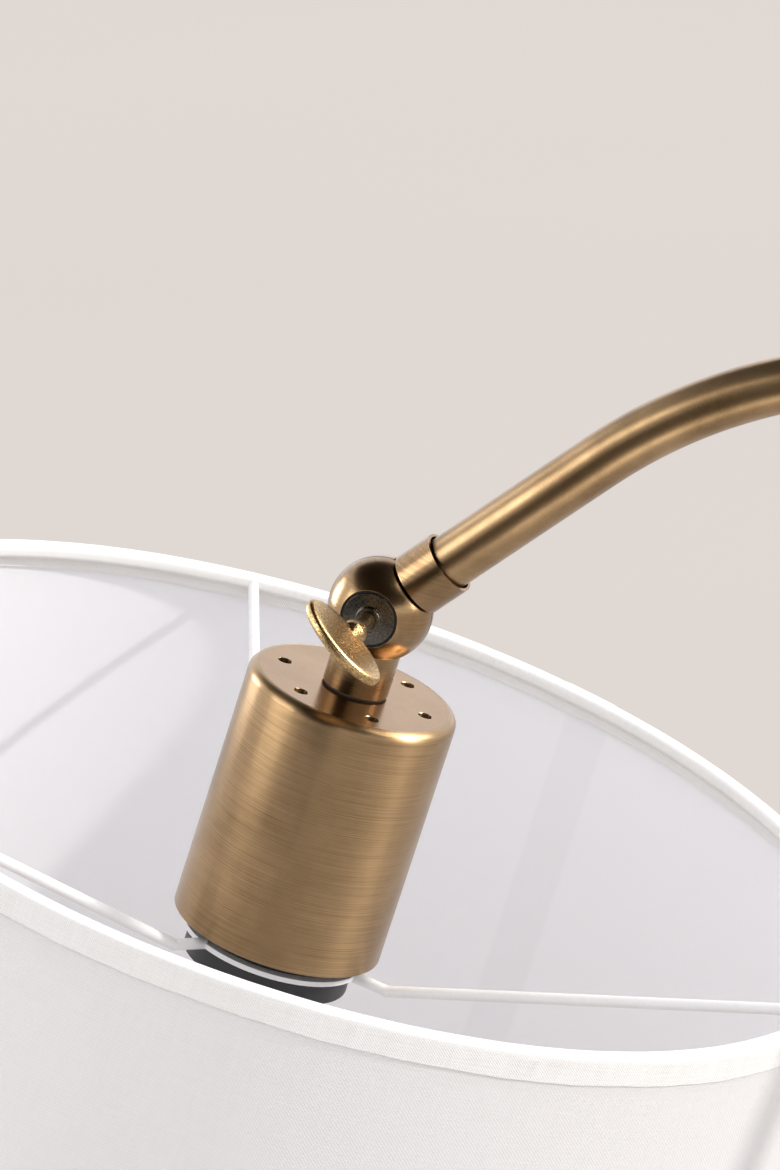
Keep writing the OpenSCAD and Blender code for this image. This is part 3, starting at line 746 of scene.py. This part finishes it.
@dataclass
class ArmTube:
    """The bent arm tube, with its map running along it."""

    finishes: Finishes
    bow: float = 450 * MM
    bend: float = 160 * MM
    straight: float = 80 * MM
    drop: float = math.radians(36.4)
    hidden: float = 18 * MM
    step: float = 4 * MM

    def path(self) -> list[Vector]:
        """Works out the centre line.

        Returns:
            Its points, from the foot to the knuckle.
        """
        ball = AXES["head"].origin
        back = Vector((math.cos(self.drop), 0, math.sin(self.drop)))
        corner = ball + back * self.straight
        bend_centre = corner - self.bend * Vector((-math.sin(self.drop), 0, math.cos(self.drop)))
        apex = bend_centre + Vector((0, 0, self.bend))
        bow_centre = apex - Vector((0, 0, self.bow))
        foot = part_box("arm_tube")[0].z
        points = [Vector((0, 0, foot)), Vector((0, 0, (foot + bow_centre.z) / 2))]
        for centre, radius, start, turn in (
            (bow_centre, self.bow, 0.0, math.pi / 2),
            (bend_centre, self.bend, math.pi / 2, self.drop),
        ):
            count = max(8, round(radius * turn / self.step))
            first = 0 if start == 0 else 1
            for k in range(first, count + 1):
                angle = start + turn * k / count
                points.append(centre + radius * Vector((math.cos(angle), 0, math.sin(angle))))
        rest = self.straight - self.hidden
        points += [corner - back * rest * k / 8 for k in range(1, 9)]
        return points

    def build(self) -> bpy.types.Object:
        """Makes and dresses the tube.

        Returns:
            The piece.
        """
        low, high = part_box("arm_tube")
        radius = (high.y - low.y) / 2
        tube = sweep("arm_tube_fine", self.path(), radius, Vector((0, 1, 0)))
        self.finishes.dress(tube, "arm")
        stand_in(tube, "arm", "brass_tube", "arm_tube")
        return tube


@dataclass
class SocketCup:
    """The spun socket cup: brushed side, satin top and bevelled vents."""

    finishes: Finishes
    edge: float = 3 * MM
    wall: float = 1.2 * MM
    top: float = 2 * MM
    bore: float = 5 * MM
    vents: int = 6
    vent_radius: float = 2 * MM
    vent_circle: float = 22 * MM
    vent_bevel: float = 0.16 * MM

    def build(self) -> bpy.types.Object:
        """Makes and dresses the cup.

        Returns:
            The piece.
        """
        axis = AXES["head"]
        low, high, radius = axis.reach("socket_cup")
        inner = radius - self.wall
        profile = rounded([
            (self.bore, high - self.top),
            (self.bore, high),
            (radius, high, self.edge),
            (radius, low, 0.35 * MM),
            (inner, low, 0.35 * MM),
            (inner, high - self.top, 1.8 * MM),
            (self.bore, high - self.top),
        ], 10)[:-1]
        cup = lathe("socket_cup_fine", profile, axis, 250)
        for i in range(self.vents):
            boolean(cup, self.vent_tool(i, high))
        flat_top = 0.25 * MM
        mesh = cup.data
        self.finishes.dress(cup, "cup", "cup_top")
        inverse = axis.matrix.inverted()
        for face in mesh.polygons:
            centre = inverse @ face.center
            on_top = centre.z > high - flat_top and math.hypot(centre.x, centre.y) < radius - self.edge
            face.material_index = 1 if on_top else 0
            face.use_smooth = not on_top
        stand_in(cup, "head", "brass_spun", "socket_cup")
        return cup

    def vent_tool(self, i: int, high: float) -> bpy.types.Object:
        """The tool that cuts one vent, with a bevel at its mouth.

        Args:
            i: Which vent.
            high: Height of the cup's top on the head's axis.

        Returns:
            The tool.
        """
        head = AXES["head"]
        angle = math.tau * i / self.vents
        spot = Vector((self.vent_circle * math.cos(angle), self.vent_circle * math.sin(angle), high))
        axis = Axis(head.matrix @ spot, head.up, head.side)
        r, b = self.vent_radius, self.vent_bevel
        outline = [(0, -4 * MM), (r, -4 * MM), (r, -b), (r + 3 * b, 2 * b), (0, 2 * b)]
        return lathe("vent_tool", outline, axis, 44, loop=False)


@dataclass
class WingScrew:
    """A cast wing screw: leaf-shaped plate, rounded shoulder and shank."""

    finishes: Finishes
    node: str
    body: str
    axis_name: str
    turn: float
    length: float = 30 * MM
    width: float = 19 * MM
    thickness: float = 3.2 * MM
    shank: float = 2.4 * MM
    shoulder: float = 3.7 * MM
    shoulder_length: float = 4 * MM
    outline_steps: int = 96
    # How far in from the edge, and how much of half the thickness, at each ring of one face
    face_rings: tuple[tuple[float, float], ...] = (
        (0.0, 0.40), (0.08, 0.56), (0.25, 0.70), (0.55, 0.86), (0.85, 0.96), (1.15, 1.0), (3.0, 1.0),
        (7.0, 1.0),
    )

    def build(self) -> bpy.types.Object:
        """Makes and dresses the screw.

        Returns:
            The piece.
        """
        base = AXES[self.axis_name]
        low, high, _ = base.reach(self.node)
        centre = high - self.width / 2
        side = Vector((math.cos(self.turn), 0, math.sin(self.turn)))
        axis = Axis(base.origin, base.up, side)
        screw = self.plate(axis, centre)
        wing_z = centre - self.width / 2
        start = wing_z - self.shoulder_length
        stem = rounded([
            (0, low),
            (self.shank, low, 0.4 * MM),
            (self.shank, start, 0.2 * MM),
            (self.shoulder, start, 1.6 * MM),
            (self.shoulder, wing_z + 0.6 * MM, 1.4 * MM),
            (self.shank * 0.6, wing_z + 3.5 * MM),
            (0, wing_z + 3.5 * MM),
        ])
        boolean(screw, lathe("wing_stem", stem, axis, 72, loop=False), "UNION")
        screw.name = self.node + "_fine"
        self.finishes.dress(screw, "cast")
        stand_in(screw, self.body, "brass_cast", self.node)
        return screw

    def plate(self, axis: Axis, centre: float) -> bpy.types.Object:
        """Makes the leaf-shaped plate.

        Args:
            axis: The screw's axis, whose side lies along the plate.
            centre: Place of the plate's middle along the axis.

        Returns:
            The plate.
        """
        bm = bmesh.new()
        rings = []
        for sign in (-1, 1):
            ordered = self.face_rings if sign > 0 else self.face_rings[::-1]
            rings += [self.ring(bm, axis, centre, inset * MM, sign * share) for inset, share in ordered]
        along = [i * MM for i in range(len(rings))]
        grid_faces(bm, rings, along, self.length * 2, False)
        bm.faces.new(rings[0])
        bm.faces.new(reversed(rings[-1]))
        bmesh.ops.recalc_face_normals(bm, faces=bm.faces)
        return finish_mesh("wing_plate", bm, 40)

    def ring(self, bm: bmesh.types.BMesh, axis: Axis, centre: float, inset: float, share: float) -> list:
        """One ring of the plate.

        Args:
            bm: The mesh.
            axis: The screw's axis.
            centre: Place of the plate's middle along the axis.
            inset: How far inside the outline the ring lies.
            share: Its height above the plate's middle, as a share of half the thickness.

        Returns:
            The ring's vertices.
        """
        half_l, half_w = self.length / 2 - inset, self.width / 2 - inset
        ring = []
        for k in range(self.outline_steps):
            t = math.tau * k / self.outline_steps
            x = half_l * math.copysign(abs(math.cos(t)) ** 0.98, math.cos(t))
            z = half_w * math.copysign(abs(math.sin(t)) ** 1.12, math.sin(t))
            ring.append(bm.verts.new(axis.matrix @ Vector((x, share * self.thickness / 2, centre + z))))
        return ring


@dataclass
class ClampDisc:
    """The blackened disc in the ball's front, with a soft rim and a raised boss."""

    finishes: Finishes
    boss: float = 3.7 * MM
    boss_height: float = 1.2 * MM
    bore: float = 2.45 * MM
    outline: float = 0.5 * MM

    def build(self) -> bpy.types.Object:
        """Makes and dresses the disc.

        Returns:
            The piece.
        """
        axis = AXES["pivot"]
        low, high, radius = axis.reach("clamp_disc")
        face = high - self.boss_height
        profile = rounded([
            (self.bore, low),
            (radius, low),
            (radius, face - 0.35 * MM),
            (radius - self.outline, face - 0.35 * MM, 0.05 * MM),
            (radius - self.outline - 0.2 * MM, face, 0.15 * MM),
            (self.boss, face, 0.25 * MM),
            (self.boss, high, 0.35 * MM),
            (self.bore, high, 0.1 * MM),
            (self.bore, low),
        ])[:-1]
        disc = lathe("clamp_disc_fine", profile, axis, 128)
        self.finishes.dress(disc, "bronze_dark", "blackened")
        inverse = axis.matrix.inverted()
        for part in disc.data.polygons:
            spot = inverse @ part.center
            part.material_index = 1 if math.hypot(spot.x, spot.y) > radius - self.outline else 0
        stand_in(disc, "head", "bronze_dark", "clamp_disc")
        return disc


@dataclass
class Shade:
    """The drum shade: cloth on a stiff lining, lapped at a seam, with taped rims."""

    finishes: Finishes
    cloth: float = 1 * MM
    seam_step: float = 0.35 * MM
    tape_depth: float = 8 * MM
    tape: float = 0.4 * MM
    wire: float = 1.6 * MM
    count: int = 384
    # Each wave along the tape's edges: its height in millimetres, its crests round the rim and its phase
    waves: tuple[tuple[float, int, float], ...] = ((0.10, 17, 1), (0.07, 41, 0), (0.05, 97, 2))
    overlap: float = 18 * MM

    @cached_property
    def wall(self) -> tuple[float, float, float, float]:
        """The drum's wall, measured once.

        Returns:
            The rim's height, the hem's height, and the outer radius at each.
        """
        axis = AXES["head"]
        low, high, widest = axis.reach("shade_fabric")
        inverse = axis.matrix.inverted()
        points = [inverse @ v.co for v in frame["nodes"]["shade_fabric"].data.vertices]
        rim = max(math.hypot(p.x, p.y) for p in points if p.z > high - MM)
        return high, low, rim, widest

    def radius(self, z: float) -> float:
        """The drum's outer radius at a height."""
        high, low, rim, widest = self.wall
        return rim + (high - z) / (high - low) * (widest - rim)

    def build(self) -> None:
        high, low, rim, widest = self.wall
        rows = 40
        outer = [(rim + (widest - rim) * k / rows, high + (low - high) * k / rows) for k in range(rows + 1)]
        inner = [(r - self.cloth, z) for r, z in reversed(outer)]
        cloth = lathe("shade_cloth", outer + inner, AXES["head"], self.count, shift=self.lap)
        self.finishes.dress(cloth, "cloth", "lining")
        inverse = AXES["head"].matrix.inverted()
        for face in cloth.data.polygons:
            spot = inverse @ face.center
            outward = (inverse.to_3x3() @ face.normal).dot(Vector((spot.x, spot.y, 0)))
            face.material_index = 0 if outward > 0 else 1
        stand_in(cloth, "head", "shade_fabric", "shade_fabric")
        tapes = [
            self.rim_tape("top_tape", high, 1),
            self.rim_tape("bottom_tape", low, -1),
        ]

    def lap(self, r: float, z: float, angle: float) -> tuple[float, float]:
        """Moves the inner face in where the cloth laps over itself.

        Args:
            r: Radius of the point.
            z: Its height.
            angle: Its direction round the drum.

        Returns:
            The moved radius and height.
        """
        arc = ((angle - SEAM_AT + math.pi) % math.tau - math.pi) * r
        edge = min(1.0, max(0.0, (SEAM_WIDTH / 2 - abs(arc)) / (1.2 * MM)))
        inside = r < self.radius(z) - self.cloth / 2
        return (r - self.seam_step * edge if inside else r), z

    def rim_tape(self, node: str, edge: float, sign: int) -> bpy.types.Object:
        """Makes the tape folded over one rim.

        Args:
            node: The tape's node in the frame.
            edge: Height of the rim.
            sign: 1 for the top rim and -1 for the bottom one.

        Returns:
            The piece.
        """
        r = self.radius(edge)
        t = self.tape
        depth = edge - sign * self.tape_depth
        inner = r - self.cloth - 2 * self.wire - 2 * t
        far_in = self.radius(depth) - self.cloth - 2.2 * t
        bulge = edge - sign * 2.1 * self.wire
        outline = [
            (self.radius(depth) + 0.3 * t, depth),
            (self.radius(depth) + t, depth),
            (r + 1.15 * t, edge - sign * 2.0 * MM, 1.0 * MM),
            (r + t, edge + sign * t, 1.1 * MM),
            (inner, edge + sign * t, 1.5 * MM),
            (inner - 0.05 * MM, bulge, 1.4 * MM),
            (far_in, edge - sign * 5.2 * MM, 1.0 * MM),
            (far_in - 0.1 * MM, depth),
            (far_in + 0.6 * t, depth),
        ]
        profile = rounded(outline, 5)
        wobble = self.uneven(edge, sign)
        tape = lathe(node + "_fine", profile, AXES["head"], 768, shift=wobble)
        self.finishes.dress(tape, "tape")
        stand_in(tape, "head", "rim_tape", node)
        return tape

    def uneven(self, edge: float, sign: int) -> Callable[[float, float, float], tuple[float, float]]:
        """How the tape waves and overlaps along its rim.

        Args:
            edge: Height of the rim.
            sign: 1 for the top rim and -1 for the bottom one.

        Returns:
            The function that moves a point.
        """
        end_at = SEAM_AT - SEAM_WIDTH / 2 / self.radius(edge)

        def move(r: float, z: float, angle: float) -> tuple[float, float]:
            """Moves one point of the tape's outline.

            Args:
                r: Radius of the point.
                z: Its height.
                angle: Its direction round the drum.

            Returns:
                The moved radius and height.
            """
            down = max(0.0, sign * (edge - z)) / self.tape_depth
            wave = sum(high * math.sin(crests * angle + phase) for high, crests, phase in self.waves)
            arc = ((angle - end_at + math.pi) % math.tau - math.pi) * r
            over = 1.0 if 0 < arc < self.overlap else 0.0
            middle = r - self.radius(z) + self.cloth + self.wire
            away = math.copysign(min(1.0, abs(middle) / MM), middle)
            dz = sign * 0.25 * MM * over * (1 - down) + sign * wave * MM * (0.4 * (1 - down) + 1.0 * down)
            return r + away * MM * (0.06 * wave + 0.22 * over), z + dz * (0.35 if down < 0.5 else 1.0)

        return move


@dataclass
class FrameParts:
    """The frame's own nodes, each with its finish."""

    finishes: Finishes
    by_finish: dict[str, tuple[str, ...]] = field(default_factory=lambda: {
        "pole": ("lower_pole", "upper_pole", "inner_pole"),
        "turned_pole": ("pole_foot", "pole_coupler", "pole_collar", "swivel_socket", "arm_ferrule"),
        "spun_base": ("base_cover",),
        "knuckle": ("knuckle_arm_half", "knuckle_head_half"),
        "electrical": ("earth_tag", "terminal_screws", "centre_contact", "screw_shell"),
        "iron": ("base_weight",),
        "steel": ("base_washer", "base_nut", "base_stud", "earth_screw", "pole_plug", "swivel_retainer",
                  "pivot_insert", "cup_nipple", "cup_locknut", "bulb_cap"),
        "nylon": ("upper_glide", "lower_glide", "height_pad", "swivel_washer", "friction_washer"),
        "black_plastic": ("cord_gland", "lampholder_cap", "lampholder_body", "shade_ring_nut"),
        "cable_jacket": ("base_lead", "arm_lead", "head_lead"),
        # Painted shade: the stem washer is made near black to show the shadow line between stem and cup
        "rubber_black": ("stem_washer",),
        "ceramic": ("terminal_block",),
        "white_wire": ("shade_spider", "top_ring", "bottom_ring"),
        "felt": ("floor_pad",),
        "opal": ("bulb_glass",),
    })

    def dress(self) -> None:
        """Puts each node's finish on it."""
        for finish, nodes in self.by_finish.items():
            for node in nodes:
                self.finishes.dress(frame["nodes"][node], finish)
            LOG.info("%s: %s", finish, ", ".join(nodes))


@dataclass
class Studio:
    """A pale floor, soft studio lights and the camera."""

    floor_colour: Colour = (0.452, 0.421, 0.392)
    wall_colour: Colour = (0.76, 0.708, 0.665)
    floor_size: float = 160.0
    azimuth: float = math.radians(15.75)
    elevation: float = math.radians(14.57)
    distance: float = 1.864
    lens: float = 200.0
    right_of_ball: float = 2.67 * MM
    above_ball: float = 6.68 * MM
    card_distance: float = 2.3
    card_steps: int = 10
    # Each dark card's left and right turn from the front, and its lowest and highest rise, in degrees
    dark_fields: dict[str, tuple[float, float, float, float]] = field(default_factory=lambda: {
        "dark_strip": (-30, 5, -28, 14),
        "dark_front": (-38, 82, 14, 75),
    })
    ceiling_height: float = 2.8
    ceiling_size: float = 6.0

    def aim(self) -> tuple[Vector, Vector, Vector]:
        """Works out how the camera is turned.

        Returns:
            Its right, back and up directions.
        """
        a, e = self.azimuth, self.elevation
        right = Vector((math.cos(a), math.sin(a), 0))
        back = Vector((math.sin(a) * math.cos(e), -math.cos(a) * math.cos(e), math.sin(e)))
        return right, back, back.cross(right)

    def camera(self) -> None:
        """Makes the scene's camera."""
        right, back, up = self.aim()
        data = bpy.data.cameras.new("camera")
        data.lens = self.lens
        data.sensor_width = 36.0
        data.clip_end = 500.0
        camera = bpy.data.objects.new("camera", data)
        bpy.context.scene.collection.objects.link(camera)
        place = AXES["head"].origin + back * self.distance
        place += right * self.right_of_ball + up * self.above_ball
        turn = Matrix((right, up, back)).transposed().to_4x4()
        camera.matrix_world = Matrix.Translation(place) @ turn
        bpy.context.scene.camera = camera

    def floor(self) -> None:
        """Makes the floor."""
        bm = bmesh.new()
        half = self.floor_size / 2
        corners = ((-half, -half), (half, -half), (half, half), (-half, half))
        bm.faces.new([bm.verts.new((x, y, 0)) for x, y in corners])
        floor = finish_mesh("floor", bm)
        g = Graph("floor")
        cloudy = g.noise(g.place(None, (0.5, 0.5, 0.5)), 2)
        darker = tuple(c * 0.97 for c in self.floor_colour)
        g.set(base_color=g.mix(cloudy, self.floor_colour, darker), roughness=0.95, specular_ior_level=0.0)
        floor.data.materials.append(g.material)

    def light(
        self,
        name: str,
        towards: Vector,
        distance: float,
        size: tuple[float, float],
        watts: float,
        colour: Colour,
    ) -> None:
        """Makes a softbox that faces the lamp's head and lights only what shines.

        Args:
            name: Name of the light.
            towards: Direction from the head to the light.
            distance: How far away it stands.
            size: Its width and its height.
            watts: Its power.
            colour: Its colour.
        """
        data = bpy.data.lights.new(name, "AREA")
        data.shape = "RECTANGLE"
        data.size, data.size_y = size
        data.energy = watts
        data.color = colour
        lamp = bpy.data.objects.new(name, data)
        lamp.visible_diffuse = False
        bpy.context.scene.collection.objects.link(lamp)
        way = towards.normalized()
        lamp.location = AXES["head"].origin + way * distance
        lamp.rotation_euler = way.to_track_quat("Z", "Y").to_euler()

    def lights(self) -> None:
        """Makes the soft lights, the sun and the even surrounding light."""
        right, back, up = self.aim()
        world = bpy.data.worlds.new("studio")
        bpy.context.scene.world = world
        world.use_nodes = True
        tree = world.node_tree
        sky = tree.nodes["Background"]
        sky.inputs[0].default_value = (0.97, 0.97, 1.0, 1)
        sky.inputs[1].default_value = 1.42
        wall = tree.nodes.new("ShaderNodeBackground")
        wall.inputs[0].default_value = (*self.wall_colour, 1)
        seen = tree.nodes.new("ShaderNodeLightPath")
        both = tree.nodes.new("ShaderNodeMixShader")
        for source, target in (
            (seen.outputs["Is Camera Ray"], both.inputs[0]),
            (sky.outputs[0], both.inputs[1]),
            (wall.outputs[0], both.inputs[2]),
            (both.outputs[0], tree.nodes["World Output"].inputs[0]),
        ):
            tree.links.new(source, target)
        self.light("key", right * 1.25 + up * 1.0 + back * 0.1, 2.2, (1.5, 1.5), 60, (1.0, 0.98, 0.96))
        self.light("fill", -right * 1.3 + up * 0.35 + back * 0.5, 2.4, (1.2, 1.2), 20, (1.0, 0.98, 0.96))
        self.light("rim", Vector((-0.93, 0.33, 0.12)), 2.3, (0.8, 1.3), 34, (1.0, 0.99, 0.97))
        self.light("low", right * 0.2 - up * 1.1 + back * 0.6, 2.0, (1.4, 1.4), 14, (1.0, 0.97, 0.93))
        self.light("streak", Vector((0.92, 0.11, 0.37)), 2.2, (0.24, 1.3), 26, (1.0, 0.97, 0.92))
        sun = bpy.data.lights.new("sun", "SUN")
        sun.angle = math.radians(2.5)
        sun.energy = 2.1
        sun.color = (1.0, 0.97, 0.94)
        lamp = bpy.data.objects.new("sun", sun)
        bpy.context.scene.collection.objects.link(lamp)
        lamp.rotation_euler = (right * 0.9 + up * 0.4 + back * 0.2).to_track_quat("Z", "Y").to_euler()

    def card(self, name: str, rows: list[list[Vector]]) -> None:
        """Hangs a dark card that only reflections see.

        Args:
            name: Name of the card.
            rows: Its points, row by row.
        """
        bm = bmesh.new()
        made = [[bm.verts.new(corner) for corner in row] for row in rows]
        for low, high in zip(made, made[1:]):
            for i in range(len(low) - 1):
                bm.faces.new((low[i], low[i + 1], high[i + 1], high[i]))
        card = finish_mesh(name, bm)
        g = Graph(name)
        g.set(base_color=(0.03, 0.025, 0.02), roughness=1.0, specular_ior_level=0.0)
        card.data.materials.append(g.material)
        card.visible_camera = False
        card.visible_diffuse = False
        card.visible_shadow = False
        card.visible_transmission = False

    def dark_cards(self) -> None:
        """Hangs dark cards behind and above the camera, and a dark ceiling over the lamp."""
        head = AXES["head"].origin
        for name, (left, right, low, high) in self.dark_fields.items():
            shares = [i / self.card_steps for i in range(self.card_steps + 1)]
            turns = [math.radians(left + (right - left) * share) for share in shares]
            rises = [math.radians(low + (high - low) * share) for share in shares]
            self.card(name, [[head + self.way(turn, rise) * self.card_distance for turn in turns]
                             for rise in rises])
        half = self.ceiling_size / 2
        over = head + Vector((0, 0, self.ceiling_height))
        self.card("dark_ceiling", [[over + Vector((x, y, 0)) for x in (-half, half)] for y in (-half, half)])

    @staticmethod
    def way(turn: float, rise: float) -> Vector:
        """The direction that is turned from the front and raised by these angles."""
        return Vector((math.sin(turn) * math.cos(rise), -math.cos(turn) * math.cos(rise), math.sin(rise)))

    def build(self) -> None:
        """Sets the stage."""
        self.camera()
        self.floor()
        self.lights()
        self.dark_cards()
        bpy.context.scene.view_settings.view_transform = "Standard"


def main() -> None:
    """Builds the lamp's looks in order."""
    logging.basicConfig(level=logging.INFO, format="%(message)s")
    Studio().build()
    finishes = Finishes()
    FrameParts(finishes).dress()
    ArmTube(finishes).build()
    SocketCup(finishes).build()
    ClampDisc(finishes).build()
    WingScrew(finishes, "thumb_screw", "thumb_screw", "pivot", math.radians(-48.5)).build()
    WingScrew(finishes, "height_screw", "height_screw", "height_screw", 0.0).build()
    Shade(finishes).build()


if __name__ == "__main__":
    main()
